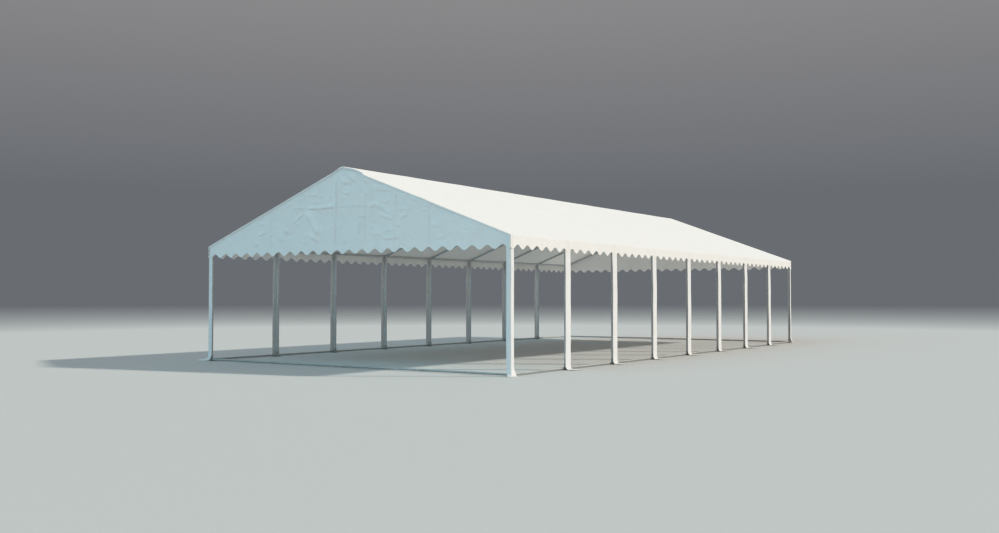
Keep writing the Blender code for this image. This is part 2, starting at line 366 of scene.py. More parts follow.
def taut_roof_half(sign):
    """One half of the roof without its sags and folds, as x, y and z of rows from its scalloped edge up."""
    columns = []
    for y, depth in roof_columns():
        profile = eave_profile(depth)
        eave_x, eave_z = profile[0]
        over_gable = smooth_step(0, HEM_ROUNDING, depth)
        bottom_side = scalloped_bottom(y, HALF_LENGTH)
        bottom = bottom_side * (1 - over_gable) + gable_bottom(sign * eave_x) * over_gable
        share = np.linspace(0, 1, VALANCE_ROWS, endpoint=False)
        valance = np.stack([np.full(VALANCE_ROWS, eave_x), bottom + (eave_z - bottom) * share], axis=1)
        across, height = np.concatenate([valance, profile]).T
        columns.append([across, np.full(len(across), y), height])
    return np.array(columns).transpose(1, 2, 0).copy()


def roof_half(sign):
    """Rows of one half of the roof, from its scalloped edge to the ridge, as (row, column, xyz)."""
    x, y, z = taut_roof_half(sign)

    from_end = ROOF_Y - np.abs(y)
    from_frame = np.abs((y - HALF_LENGTH + BAY / 2) % BAY - BAY / 2)
    on_slope = smooth_step(0, 0.5, z - EAVE_Z + 0.02) * smooth_step(-0.1, 0.4, x)
    relief = layered_noise(x, y, 20 + sign, ROOF_SLACK) * on_slope
    relief *= 0.35 + 0.65 * smooth_step(0, 0.12, from_end)
    relief += roof_creases(x, y, sign) * on_slope
    held_up = np.where(relief < 0, smooth_step(0.02, 0.12, from_frame), 1)  # no dip over a rafter
    belly = np.sin(math.pi * np.clip((EAVE_X - x) / EAVE_X, 0, 1)) ** 0.7
    drop = (EAVE_SAG + BELLY_SAG * belly) * frame_sag(y) * smooth_step(0, 0.25, from_end)
    push = relief * held_up - drop * (z > VALANCE_TOP)
    x += SLOPE_NORMAL.x * push
    z += SLOPE_NORMAL.z * push
    z += apex_roll(sign * x) * smooth_step(-GABLE_Y + 0.34, -GABLE_Y + 0.02, y)

    hanging = smooth_step(VALANCE_TOP, TIP_Z + 0.02, z)
    at_post = np.cos(math.pi * (y - HALF_LENGTH) / BAY) ** 8
    sway = sum(height * value_noise(y, z, cell, seed + sign) for height, cell, seed in VALANCE_SWAY)
    x += hanging * smooth_step(0, 0.15, from_end) * (sway + 0.002) * (1 - 0.75 * at_post)
    x, y = turn_corners(x, y, z)
    return np.stack([sign * x, y, z], axis=-1)


def make_roof(material):
    left, right = [roof_half(sign) for sign in SIDES.values()]
    grid = np.concatenate([left, right[::-1][1:]])
    grid[len(left) - 1, :, 2] = (left[-1, :, 2] + right[-1, :, 2]) / 2
    roof = sheet_object("roof_cover", grid, material)
    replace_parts(roof, "roof_panel_left", "roof_panel_right", "valance_left", "valance_right")


# Gables

RELIEF_LIMITS = (-0.024, 0.04)  # how far a gable's folds may stand in and out
GABLE_SLACK = ((0.0065, 0.95), (0.004, 0.36), (0.0016, 0.13))
BACK_SEAM_PITCH = 810  # in millimetres, as in the tables of folds

# Seams, folds and creases of the front gable, read from the photograph: height, width and the points
# (x, z) on it, in millimetres
FRONT_FOLDS = [
    (17, 16, (-210, 2450), (-215, 2840), (-195, 3250), (-200, 3920)),
    (11, 16, (-1030, 2450), (-1035, 3240)),
    (17, 16, (-2040, 2380), (-2090, 2720), (-2095, 3170)),
    (12, 16, (-2835, 2420), (-2840, 2820)),
    (12, 16, (560, 2450), (560, 3620)),
    (14, 16, (1375, 2450), (1375, 3520)),
    (15, 16, (2220, 2450), (2200, 2850), (2170, 3160)),
    (11, 16, (2990, 2400), (2990, 2820)),
    (9, 14, (-1460, 3295), (-1010, 3275)),
    (28, 19, (-1040, 3270), (-670, 3257), (-150, 3270)),
    (9, 14, (-250, 3268), (460, 3265), (1200, 3175)),
    (-12, 18, (-1000, 3325), (-360, 3300)),
    (16, 15, (-730, 3225), (-640, 3185), (-655, 3140)),
    (40, 34, (-1070, 3220), (-960, 3080), (-830, 2895), (-640, 2660)),
    (-12, 30, (-880, 3120), (-700, 2920), (-550, 2780)),
    (22, 28, (-1035, 2780), (-885, 2675), (-620, 2550)),
    (14, 16, (-1410, 2960), (-1300, 3045), (-1100, 3180)),
    (16, 17, (-1430, 3050), (-1300, 2950), (-1220, 2930)),
    (-10, 16, (-1410, 3260), (-1340, 3160), (-1300, 3050)),
    (20, 18, (-1670, 2830), (-1600, 2800), (-1530, 2800)),
    (-13, 20, (-1650, 2710), (-1500, 2690), (-1350, 2740)),
    (13, 14, (-2490, 2750), (-2350, 2770), (-2210, 2830)),
    (10, 14, (-2450, 2980), (-2250, 2985)),
    (13, 18, (-2640, 2530), (-2500, 2550), (-2440, 2660)),
    (12, 34, (-1960, 2710), (-1780, 2660), (-1600, 2590)),
    (19, 22, (-140, 3930), (-80, 3830), (20, 3745), (190, 3715)),
    (19, 22, (100, 3900), (240, 3810), (360, 3710)),
    (-10, 24, (300, 3870), (460, 3680)),
    (18, 24, (440, 3930), (550, 3800), (660, 3640)),
    (13, 24, (700, 3570), (1000, 3545), (1300, 3515)),
    (-13, 20, (-80, 3610), (60, 3700), (180, 3660), (220, 3560)),
    (16, 15, (-60, 3540), (40, 3525), (140, 3530), (110, 3450)),
    (16, 14, (-30, 3445), (80, 3430)),
    (12, 13, (-970, 3540), (-700, 3530)),
    (13, 14, (-700, 3480), (-600, 3500), (-480, 3490)),
    (9, 14, (-970, 3400), (-640, 3370)),
    (12, 14, (-420, 3440), (-330, 3520)),
    (16, 18, (660, 3180), (840, 3270), (1040, 3210)),
    (16, 18, (990, 3190), (1190, 3080), (1340, 3130)),
    (14, 18, (880, 3090), (1130, 2985), (1340, 2955)),
    (-10, 18, (920, 3140), (1160, 3030)),
    (16, 16, (370, 3080), (620, 3020)),
    (16, 18, (1500, 2940), (1590, 3000), (1690, 3040)),
    (12, 19, (670, 2870), (870, 2755), (990, 2670)),
    (-10, 18, (740, 2920), (900, 2840)),
    (14, 16, (740, 2680), (1040, 2660)),
    (14, 18, (1060, 2710), (1210, 2740), (1360, 2735)),
    (13, 16, (1380, 2830), (1500, 2800)),
    (13, 18, (455, 2650), (405, 2770), (460, 2950)),
    (14, 15, (990, 2585), (1540, 2570)),
    (9, 13, (1380, 3125), (1790, 3130)),
    (12, 13, (2010, 3090), (2160, 3090)),
    (14, 18, (3140, 2750), (3250, 2710), (3350, 2660)),
    (-12, 18, (3200, 2665), (3320, 2700)),
    (13, 18, (2350, 2525), (2580, 2570)),
    (12, 20, (2220, 2800), (2470, 2760)),
    (12, 16, (570, 3540), (660, 3445)),
    (12, 16, (1100, 3260), (1230, 3330)),
]

# Folds of the back gable, in the same form
BACK_FOLDS = [
    (-9, 18, (-1500, 3160), (-800, 3210), (-100, 3240)),
    (-6, 16, (-200, 3240), (1350, 3290)),
    (-10, 24, (700, 3200), (900, 2940), (1150, 2620)),
    (-8, 22, (-500, 3850), (100, 3620)),
    (-8, 22, (-2200, 2900), (-1900, 2720), (-1800, 2550)),
    (-7, 20, (1900, 3000), (2200, 2850)),
]


def gable_top(x):
    """Height of the gable's top edge, hidden under the roof's hem."""
    return RIDGE_Z - 0.006 - np.abs(x) * math.tan(SLOPE) - 0.012 * np.exp(-np.abs(x) / 0.03)


def back_seams():
    """Upright seams of the back gable, where it is tall enough for them."""
    for i in range(-4, 5):
        x = 120 + BACK_SEAM_PITCH * i
        top = 1000 * float(gable_top(x / 1000)) - 120
        if top > 2700:
            yield 9, 16, (x, 2420), (x + 10, top)


def gable_relief(x, z, end):
    """How far the gable stands out from its plane."""
    folds, seed = (FRONT_FOLDS, 100) if end == "front" else ([*back_seams(), *BACK_FOLDS], 200)
    relief = 0
    for high, wide, *points in folds:
        relief += fold(x, z, np.array(points) / 1000, high / 1000, wide / 1000, gentle=3)
    relief += crumple(x, z, seed, 130, (-3.5, 3.5, 2.42, 3.7), 0.0075, (0.06, 0.24))
    relief += layered_noise(x, z, seed + 1, GABLE_SLACK)
    loose = smooth_step(2.52, 2.3, z)
    return relief + loose * (0.005 * value_noise(x, z * 0.4, 0.28, 301) + 0.004)


def make_gable(end, material):
    across = np.linspace(-GABLE_EDGE, GABLE_EDGE, GABLE_COLUMNS)[None]
    bottom = gable_bottom(across)
    top = gable_top(across) + (apex_roll(across) if end == "front" else 0)
    z = bottom + (top - bottom) * np.linspace(0, 1, GABLE_ROWS)[:, None]
    x = np.broadcast_to(across, z.shape)
    held = smooth_step(0, 0.06, top - z) * smooth_step(0, 0.25, GABLE_EDGE - np.abs(x))
    standing = np.clip(gable_relief(x, z, end), *RELIEF_LIMITS) * held - 0.0004
    y = ENDS[end] * (GABLE_Y + standing)
    gable = sheet_object(f"gable_cloth_{end}", np.stack([x, y, z], axis=-1), material)
    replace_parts(gable, f"gable_{end}")


# Post covers

COVER_WIDTH = 0.2
SIDE_WIDTH = 0.1  # of a corner cover's side face
END_WIDTH = {"left": 0.122, "right": 0.1}  # and of its end face
COVER_ROUNDING = {"left": 0.013, "right": CORNER_ROUNDING}  # of its corner
COVER_BOW = {"left": 0.026, "right": 0.008}
GROUND_GAP = 0.0035
FOOT_TOP_Z = 0.26  # where a corner cover starts to flare out
FOOT_ROWS = BEND_ROWS + FLAP_ROWS


def side_path(bend, reach, lean, bow, seed):
    """The middle line of a cover as outward and height, from its top to the tip of its flap.

    Below the valance it bellies out by bow, and it leans out by lean down at the bend."""
    drop = np.linspace(COVER_TOP, bend + GROUND_GAP, DROP_ROWS)
    down = (COVER_TOP - drop) / COVER_TOP
    swing = bow * smooth_step(0.06, 0.22, down) + lean * down**2
    swing += 0.0032 * value_noise(drop, 0, 0.42, seed) * smooth_step(0, 0.12, down)
    angles = np.linspace(0, math.pi / 2, BEND_ROWS + 1)[1:]
    bent = swing[-1] + bend * (1 - np.cos(angles))
    flap = np.linspace(bent[-1], reach, FLAP_ROWS + 1)[1:]
    share = (flap - bent[-1]) / (reach - bent[-1])
    lift = 0.007 * np.sin(math.pi * share) * (1 - share) + 0.0012 * value_noise(flap, 0, 0.06, seed + 5)
    out = np.concatenate([swing, bent, flap])
    height = np.concatenate([drop, bend + GROUND_GAP - bend * np.sin(angles), GROUND_GAP + np.abs(lift)])
    return out, height


def flap_arch(out, across, reach):
    """How high a straight cover's flap stands off the ground: arched across, and less towards its tip."""
    share = smooth_step(0.06, reach, out)
    return (0.018 * (1 - share) + 0.004) * smooth_step(0.04, 0.09, out) * (1 - across**2) ** 0.6


def make_straight_cover(side, i, material):
    """A strip of cloth down the outside of a post, with its flap on the ground."""
    rng = np.random.default_rng(500 + 10 * i + SIDES[side])
    reach = rng.uniform(0.262, 0.283)
    bow = COVER_BOW[side] + rng.uniform(-0.003, 0.003)
    bend = rng.uniform(0.072, 0.086)
    lean = rng.uniform(-0.004, 0.004)
    slant = rng.normal(0, 0.008)  # sideways, of the flap
    out, height = side_path(bend, reach, lean, bow, i)
    length = np.append(0, np.cumsum(np.hypot(np.diff(out), np.diff(height))))

    out, height, length = out[:, None], height[:, None], length[:, None]
    across = np.linspace(-1, 1, COVER_COLUMNS)[None]
    on_post = smooth_step(0.05, 0.3, height)
    edge_wave = 0.0028 * value_noise(length + 3 * i, across * 0.6, 0.3, 510 + i)
    cup = 0.003 * (1 - across**2) * on_post + edge_wave * on_post * across**2
    shift = 0.0025 * value_noise(length, 0, 0.8, 520 + i) * on_post + slant * smooth_step(0, 0.2, out)
    narrowing = 1 - 0.1 * smooth_step(0.1, 0.25, out) * across**2
    y = FRAME_Y[i] + COVER_WIDTH / 2 * across * narrowing + shift
    z = height + 0.002 * (1 - on_post) * across**2 + flap_arch(out, across, reach)
    grid = np.stack([SIDES[side] * (COVER_X + out + cup), y, z], axis=-1)
    add_cover(side, i, grid, material)


def make_corner_cover(side, i, material):
    """The cover of a corner post. It turns round the corner, and at the foot it sweeps outward."""
    end = -1 if i == FRAMES[0] else 1
    width, rounding = END_WIDTH[side], COVER_ROUNDING[side]
    heights = np.linspace(COVER_TOP, FOOT_TOP_Z, DROP_ROWS)[:, None]
    sway = 0.0025 * value_noise(heights, 0, 0.42, 600 + i + SIDES[side])
    sway *= smooth_step(0, 0.3, COVER_TOP - heights)

    # across runs from the back edge of the side face over the corner, at 0, to the inner edge of the end face
    side_face = np.linspace(-SIDE_WIDTH, -rounding, FACE_COLUMNS)
    corner = np.linspace(-0.75, 0.75, TURN_COLUMNS) * rounding
    end_face = np.linspace(rounding, width, FACE_COLUMNS)
    across = np.concatenate([side_face, corner, end_face])[None]
    turned = math.pi / 4 * (1 - np.clip(across / rounding, -1, 1))
    face_x = -np.clip(across - rounding, 0, None) - rounding * (1 - np.sin(turned))
    face_y = np.clip(across + rounding, None, 0) - rounding * (1 - np.cos(turned))

    at_side, at_end = np.clip(-across / SIDE_WIDTH, 0, 1), np.clip(across / width, 0, 1)
    foot = left_foot if side == "left" else right_foot
    foot_out, foot_away, foot_z = np.broadcast_arrays(*foot(at_side, at_end, face_x, face_y))
    ripple = 0.0022 * value_noise(heights + i, across * 4, 0.35, 610 + i) * at_end
    out = np.concatenate([sway + face_x, sway[-1] + foot_out])
    away = np.concatenate([face_y + ripple, ripple[-1] + foot_away])
    z = np.concatenate([np.broadcast_to(heights, ripple.shape), foot_z])
    grid = np.stack([SIDES[side] * (COVER_X + out), end * (COVER_Y + away), z], axis=-1)
    add_cover(side, i, grid, material)


# Foot of a left corner cover, at its corner and at its inner edge, as (outward, height)
LEFT_RIDGE = [
    (0, FOOT_TOP_Z), (0.001, 0.19), (0.007, 0.13), (0.022, 0.085), (0.055, 0.052), (0.1, 0.038),
    (0.18, 0.027), (0.275, 0.014),
]
LEFT_SKIRT = [
    (0, FOOT_TOP_Z), (0, 0.18), (0.008, 0.12), (0.03, 0.075), (0.062, 0.034), (0.115, 0.004),
    (0.22, GROUND_GAP), (0.375, GROUND_GAP),
]


def soft_curve(points, t):
    """A curve by way of points, at the shares t of its run, with its corners taken off."""
    knots = np.linspace(0, 1, len(points))
    line = np.stack([np.interp(t, knots, column) for column in np.transpose(points)], axis=-1)
    for _ in range(3):
        line[1:-1] = (line[:-2] + 2 * line[1:-1] + line[2:]) / 4
    return line[:, :1], line[:, 1:]


def left_foot(at_side, at_end, face_x, face_y):
    """The foot bends over and lies on the ground as a tongue, outward and away from the corner."""
    t = np.linspace(0, 1, FOOT_ROWS + 1)[1:]
    ridge_out, ridge_z = soft_curve(LEFT_RIDGE, t)
    skirt_out, skirt_z = soft_curve(LEFT_SKIRT, t)
    flat = smooth_step(0.45, 1, t)[:, None]
    out = ridge_out * (1 - at_end) + skirt_out * at_end + face_x
    z = ridge_z * (1 - at_end) + skirt_z * at_end - flat * at_side**2 * (ridge_z - GROUND_GAP) * 0.8
    away = face_y + 0.09 * smooth_step(0.5, 1, t)[:, None] - 0.006 * flat * (1 - 2 * at_end)
    return out, away, np.maximum(z, GROUND_GAP)


def right_foot(at_side, at_end, face_x, face_y):
    """The foot sweeps out at the corner, so that its hem meets the ground on a slant and faces outward."""
    t = np.linspace(0, 1, FOOT_ROWS + 1)[1:, None]
    z = FOOT_TOP_Z - (FOOT_TOP_Z - GROUND_GAP) * t**0.85
    flare = 0.075 * np.clip((0.21 - z) / 0.21, 0, 1) ** 2.3
    sweep = 1 - np.sqrt(1 - np.clip((0.16 - z) / 0.16, 0, 1) ** 2)
    out = face_x + flare * (0.7 + 0.3 * at_side) * (1 - 0.6 * at_end) + 0.095 * sweep * at_end
    away = face_y + 0.14 * sweep * (0.4 + 0.6 * at_end) * (1 - at_side) ** 1.5
    return out, away, z


def add_cover(side, i, grid, material):
    cover = sheet_object(f"cover_{side}_{i}", grid, material)
    body = cover.modifiers.new("Thickness", "SOLIDIFY")
    body.thickness = CLOTH_THICKNESS
    body.offset = 0
    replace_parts(cover, f"post_cover_{side}_{i}")


# Steel

POST_RADIUS = 0.03
TUBE_RADIUS = 0.025
RAIL_RADIUS = 0.021
SLEEVE_WALL = 0.004
POST_SLEEVE = POST_RADIUS + SLEEVE_WALL
TUBE_SLEEVE = TUBE_RADIUS + SLEEVE_WALL
RAIL_SLEEVE = RAIL_RADIUS + SLEEVE_WALL
SLEEVE_LENGTH = 0.16
ELBOW_LENGTH = 0.2
ARM_LENGTH = 0.12  # of the short sleeves along an eave tube
BOLT_INSET = 0.035  # from the end of a sleeve
EDGE = 0.0015
SIDES_OF_TUBE = 24
TUBES, BOLTS, PAINTED = range(3)  # the materials of a steel piece

TUBE_DEPTH = 0.0333  # from the roof's outer face down to the axis of a rafter
RIDGE_AXIS_Z = RIDGE_Z - TUBE_DEPTH / math.cos(SLOPE)
EAVE_AXIS_Z = RIDGE_AXIS_Z - HALF_SPAN * math.tan(SLOPE)
PURLIN_Z = (PURLIN_START.z + PURLIN_END.z) / 2
PURLIN_JOINTS = [1 + share * HALF_LENGTH for share in (-0.5, 0, 0.5)]
RAIL_Z = (RAIL_START.z + RAIL_END.z) / 2
END_RAIL_JOINTS = (-2, 0, 2)
FOOT_SLEEVE_TOP = 0.12
PLATE = (0.1, 0.1, 0.006)
PLATE_ROUNDING = 0.01
PEG_SPOT = 0.038  # from the post's axis, each way
PEG_RADIUS = 0.0075

WASHER_RADIUS, WASHER_THICKNESS = 0.0105, 0.003
HEX_RADIUS, HEAD_HEIGHT, NUT_HEIGHT = 0.0082, 0.0065, 0.0075
THREAD_RADIUS, THREAD_END = 0.0042, 0.005
SUNK = 0.001  # of a washer, in the round of its tube

CLAMP_ROD = 0.0035
CLAMP_STEPS = 8
CLAMP_SPREAD = 0.036  # of its two rods, from the frame's middle

ALONG, UP = Vector((0, 1, 0)), Vector((0, 0, 1))


def up_slope(sign):
    """The direction of a rafter, from its eave up to the ridge."""
    return Vector((-sign * math.cos(SLOPE), 0, math.sin(SLOPE)))


def bar(shape, start, end, radius, sides=SIDES_OF_TUBE, edge=EDGE, part=TUBES):
    """A round bar with a small chamfer at each end."""
    start, end = Vector(start), Vector(end)
    length = (end - start).length
    axis = (end - start).normalized()
    turn = axis.to_track_quat("Z", "Y").to_matrix()
    rings = []
    for along, r in ((0, radius - edge), (edge, radius), (length - edge, radius), (length, radius - edge)):
        ring = []
        for k in range(sides):
            angle = 2 * math.pi * (k + 0.5) / sides
            spoke = Vector((r * math.cos(angle), r * math.sin(angle), 0))
            ring.append(shape.verts.new(start + axis * along + turn @ spoke))
        rings.append(ring)
    made = [shape.faces.new(list(reversed(rings[0]))), shape.faces.new(rings[-1])]
    for a, b in zip(rings, rings[1:]):
        made += [shape.faces.new((a[k], a[(k + 1) % sides], b[(k + 1) % sides], b[k])) for k in range(sides)]
    for face in made:
        face.material_index = part


def bolt(shape, centre, axis, radius):
    """A hexagon bolt through a tube of the given radius, with its washers and nut."""
    centre, axis = Vector(centre), Vector(axis)
    for way, height in ((axis, HEAD_HEIGHT), (-axis, NUT_HEIGHT)):
        at = centre + way * (radius - SUNK)
        bar(shape, at, at + way * WASHER_THICKNESS, WASHER_RADIUS, 16, 0.0004, BOLTS)
        at += way * WASHER_THICKNESS
        bar(shape, at, at + way * height, HEX_RADIUS, 6, 0.0008, BOLTS)
    tip = centre - axis * (radius - SUNK + WASHER_THICKNESS + NUT_HEIGHT)
    bar(shape, tip, tip - axis * THREAD_END, THREAD_RADIUS, 10, 0.0006, BOLTS)


def coupler(shape, middle, way, half, bolts_at, bolt_axis, radius):
    """A short sleeve over the joint of two tubes, with a bolt near each end."""
    middle, way = Vector(middle), Vector(way)
    bar(shape, middle - way * half, middle + way * half, radius)
    for shift in (-bolts_at, bolts_at):
        bolt(shape, middle + way * shift, bolt_axis, radius)


def steel_object(name, shape, node, materials):
    mesh = mesh_from(name, shape)
    mesh.shade_smooth()
    mesh.set_sharp_from_angle(angle=math.radians(32))
    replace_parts(piece(name, mesh, materials), node)


def posts():
    """Yields the name, shape and CAD node of each post. The makers below do so for their own pieces."""
    for side in SIDES:
        for i in FRAMES:
            shape = bmesh.new()
            x, y = SIDES[side] * HALF_SPAN, FRAME_Y[i]
            bar(shape, (x, y, 0.03), (x, y, EAVE_AXIS_Z - 0.04), POST_RADIUS)
            yield f"tube_post_{side}_{i}", shape, f"post_{side}_{i}"


def beams():
    """Eave tubes with their sleeves down over the posts, up to the rafters and along the tubes."""
    for side, sign in SIDES.items():
        shape = bmesh.new()
        middle = Vector((sign * HALF_SPAN, 0, EAVE_AXIS_Z))
        bar(shape, middle - ALONG * HALF_LENGTH, middle + ALONG * HALF_LENGTH, TUBE_RADIUS)
        for i in FRAMES:
            node = middle + ALONG * FRAME_Y[i]
            for way, sleeve in ((-UP, POST_SLEEVE), (up_slope(sign), TUBE_SLEEVE)):
                bar(shape, node, node + way * SLEEVE_LENGTH, sleeve)
                bolt(shape, node + way * (SLEEVE_LENGTH - BOLT_INSET), ALONG, sleeve)
            for arm in (-ALONG * ARM_LENGTH, ALONG * ARM_LENGTH):
                if abs((node + arm).y) < HALF_LENGTH:
                    bar(shape, node, node + arm, TUBE_SLEEVE)
                    bolt(shape, node + arm * 0.78, (sign, 0, 0), TUBE_SLEEVE)
        yield f"beam_{side}", shape, f"eave_beam_{side}"


def arches():
    """Two rafters and their elbow at the ridge, with a clamp round the purlin below it."""
    for i in FRAMES:
        shape = bmesh.new()
        ridge = Vector((0, FRAME_Y[i], RIDGE_AXIS_Z))
        for sign in SIDES.values():
            up = up_slope(sign)
            eave = Vector((sign * HALF_SPAN, FRAME_Y[i], EAVE_AXIS_Z))
            bar(shape, eave + up * 0.05, ridge - up * 0.02, TUBE_RADIUS)
            bar(shape, ridge + up * 0.006, ridge - up * ELBOW_LENGTH, TUBE_SLEEVE)
            for from_ridge in (ELBOW_LENGTH - BOLT_INSET, 0.09):
                bolt(shape, ridge - up * from_ridge, ALONG, TUBE_SLEEVE)
        purlin_clamp(shape, FRAME_Y[i])
        yield f"arch_{i}", shape, f"roof_arch_{i}"


def purlin_clamp(shape, frame_y):
    """Two U-shaped rods under the purlin that hang it from the elbow."""
    band = TUBE_RADIUS + CLAMP_ROD
    for y in (frame_y - CLAMP_SPREAD, frame_y + CLAMP_SPREAD):
        for x in (-band, band):
            bar(shape, (x, y, PURLIN_Z), (x, y, RIDGE_AXIS_Z - 0.012), CLAMP_ROD, 8, 0.0006, BOLTS)
        angles = [math.pi * (1 + k / CLAMP_STEPS) for k in range(CLAMP_STEPS + 1)]
        points = [(band * math.cos(a), y, PURLIN_Z + band * math.sin(a)) for a in angles]
        for a, b in zip(points, points[1:]):
            bar(shape, a, b, CLAMP_ROD, 8, 0.0002, BOLTS)


def purlin():
    shape = bmesh.new()
    bar(shape, (0, PURLIN_START.y, PURLIN_Z), (0, PURLIN_END.y, PURLIN_Z), TUBE_RADIUS)
    for y in PURLIN_JOINTS:
        coupler(shape, (0, y, PURLIN_Z), ALONG, 0.1, 0.07, (1, 0, 0), TUBE_SLEEVE)
    for end in ENDS.values():
        y = end * (PURLIN_END.y - 0.001)
        bar(shape, (0, y, PURLIN_Z), (0, y - end * 0.012, PURLIN_Z), TUBE_RADIUS + 0.0016, part=PAINTED)
    yield "purlin", shape, "ridge_purlin"


def foot_plate(shape, x, y):
    """A foot plate on the ground, with its upright corners rounded."""
    corners = bmesh.ops.create_cube(shape, size=1)["verts"]
    for vert in corners:
        vert.co = Vector((x, y, PLATE[2] / 2)) + vert.co * Vector(PLATE)
        for face in vert.link_faces:
            face.material_index = PAINTED
    edges = dict.fromkeys(edge for vert in corners for edge in vert.link_edges)
    upright = [edge for edge in edges if abs(edge.verts[0].co.z - edge.verts[1].co.z) > 0.001]
    bmesh.ops.bevel(
        shape, geom=upright, offset=PLATE_ROUNDING, segments=4, affect="EDGES", material=PAINTED
    )


def side_rails():
    """The bar along each side, with the foot plates, their sleeves and the pegs through the plates."""
    top = PLATE[2]
    for side, sign in SIDES.items():
        shape = bmesh.new()
        x = sign * HALF_SPAN
        bar(shape, (x, -HALF_LENGTH, RAIL_Z), (x, HALF_LENGTH, RAIL_Z), RAIL_RADIUS)
        for y in FRAME_Y.values():
            foot_plate(shape, x, y)
            bar(shape, (x, y, top / 2), (x, y, FOOT_SLEEVE_TOP), POST_SLEEVE)
            bar(shape, (x, y, top - 0.002), (x, y, top + 0.004), POST_SLEEVE + 0.0022, edge=0.0024)  # weld
            bolt(shape, (x, y, FOOT_SLEEVE_TOP - 0.028), ALONG, POST_SLEEVE)
            for dx, dy in ((-1, -1), (-1, 1), (1, -1), (1, 1)):
                spot = (x + dx * PEG_SPOT, y + dy * PEG_SPOT)
                bar(shape, (*spot, top - 0.001), (*spot, top + 0.005), PEG_RADIUS, 12, 0.0016, BOLTS)
        yield f"rail_{side}", shape, f"ground_rail_{side}"


def end_rails():
    """The bar across each end, with a bolted coupler wherever two of its tubes meet."""
    for end, sign in ENDS.items():
        shape = bmesh.new()
        y = sign * HALF_LENGTH
        bar(shape, (RAIL_START.x, y, RAIL_Z), (RAIL_END.x, y, RAIL_Z), RAIL_RADIUS)
        for x in END_RAIL_JOINTS:
            coupler(shape, (x, y, RAIL_Z), (1, 0, 0), 0.07, 0.042, (0, sign, 0), RAIL_SLEEVE)
        yield f"rail_{end}", shape, f"ground_rail_{end}"


# Materials

WHITES = (0.865, 0.905)  # of the cloth, before its tint
# painted warm sunlight: the roof's cloth is tinted warmer than the same cloth of the gables and covers
ROOF_PAINTED_SUN_WARMTH = (1.02, 0.995, 0.96)
YELLOWED = (0.72, 0.7, 0.62)
FOOT_DIRT = (0.4, 0.38, 0.29)
WELD_TONE = (0.76, 0.76, 0.74)
LIGHT_THROUGH = 0.1  # share of the light that the cloth lets through
THREAD_PITCH = 0.0034


class Nodes:
    """Short calls for building a node tree."""

    def __init__(self, tree):
        self.tree = tree
        tree.nodes.clear()

    def add(self, kind, **inputs):
        node = self.tree.nodes.new(kind)
        for name, value in inputs.items():
            self.set(node, name.replace("_", " "), value)
        return node

    def set(self, node, name, value):
        socket = node.inputs[int(name) if name.isdigit() else name]
        if isinstance(value, bpy.types.NodeSocket):
            self.tree.links.new(value, socket)
        else:
            socket.default_value = value

    def math(self, operation, a, b=None, clamp=False):
        node = self.tree.nodes.new("ShaderNodeMath")
        node.operation = operation
        node.use_clamp = clamp
        self.set(node, "0", a)
        if b is not None:
            self.set(node, "1", b)
        return node.outputs[0]

    def times(self, a, b, clamp=False):
        return self.math("MULTIPLY", a, b, clamp)

    def vector_math(self, operation, a, **inputs):
        node = self.tree.nodes.new("ShaderNodeVectorMath")
        node.operation = operation
        for name, value in {"0": a, **inputs}.items():
            self.set(node, name, value)
        return node

    def stretched(self, vector, scale):
        return self.add("ShaderNodeMapping", Vector=vector, Scale=scale).outputs[0]

    def noise(self, vector, scale, detail=3, roughness=0.5, distortion=0):
        node = self.add("ShaderNodeTexNoise", Vector=vector, Scale=scale, Detail=detail, Roughness=roughness,
                        Distortion=distortion)
        return node.outputs["Fac"]

    def steps(self, value, stops):
        """A colour ramp. stops are (place, colour), and a colour may be one number for a grey."""
        node = self.tree.nodes.new("ShaderNodeValToRGB")
        ramp = node.color_ramp
        while len(ramp.elements) < len(stops):
            ramp.elements.new(0.5)
        for element, (place, colour) in zip(ramp.elements, stops):
            element.position = place
            element.color = (*colour, 1) if isinstance(colour, tuple) else (colour, colour, colour, 1)
        self.set(node, "Fac", value)
        return node.outputs["Color"]

    def mix(self, factor, a, b, blend="MIX"):
        """Two colours in one. Each is a socket or a tuple."""
        node = self.tree.nodes.new("ShaderNodeMix")
        node.data_type = "RGBA"
        node.blend_type = blend
        for name, value in (("0", factor), ("6", a), ("7", b)):
            self.set(node, name, (*value, 1) if isinstance(value, tuple) else value)
        return node.outputs[2]

    def stained(self, colour, noise, low, high, share, stain):
        """Patches of stain where the noise is over low. They cover up to share where it is over high."""
        patches = self.steps(noise, [(low, 0), (high, 1)])
        return self.mix(self.times(patches, share), colour, stain)

    def bump(self, height, strength, distance, **inputs):
        inputs |= {"Height": height, "Strength": strength, "Distance": distance}
        return self.add("ShaderNodeBump", **inputs).outputs["Normal"]

    def principled(self, **inputs):
        return self.add("ShaderNodeBsdfPrincipled", **inputs).outputs[0]

    def blended(self, factor, first, second):
        return self.add("ShaderNodeMixShader", **{"0": factor, "1": first, "2": second}).outputs[0]

    def surface(self, shader):
        self.add("ShaderNodeOutputMaterial", Surface=shader)


def new_material(name):
    """An empty material, its nodes, and the place on the object that its patterns go by."""
    made = bpy.data.materials.new(name)
    made.use_nodes = True
    n = Nodes(made.node_tree)
    return made, n, n.add("ShaderNodeTexCoord").outputs["Object"]


def scrim(n, parts, weave):
    """Height of the woven threads, in the two directions of weave."""
    threads = []
    for direction in weave:
        run = 0
        for part, weight in zip(parts, direction):
            if weight:
                run = n.math("ADD", n.times(part, weight), run)
        threads.append(n.math("SINE", n.times(run, 2 * math.pi / THREAD_PITCH)))
    return n.math("MAXIMUM", *threads)


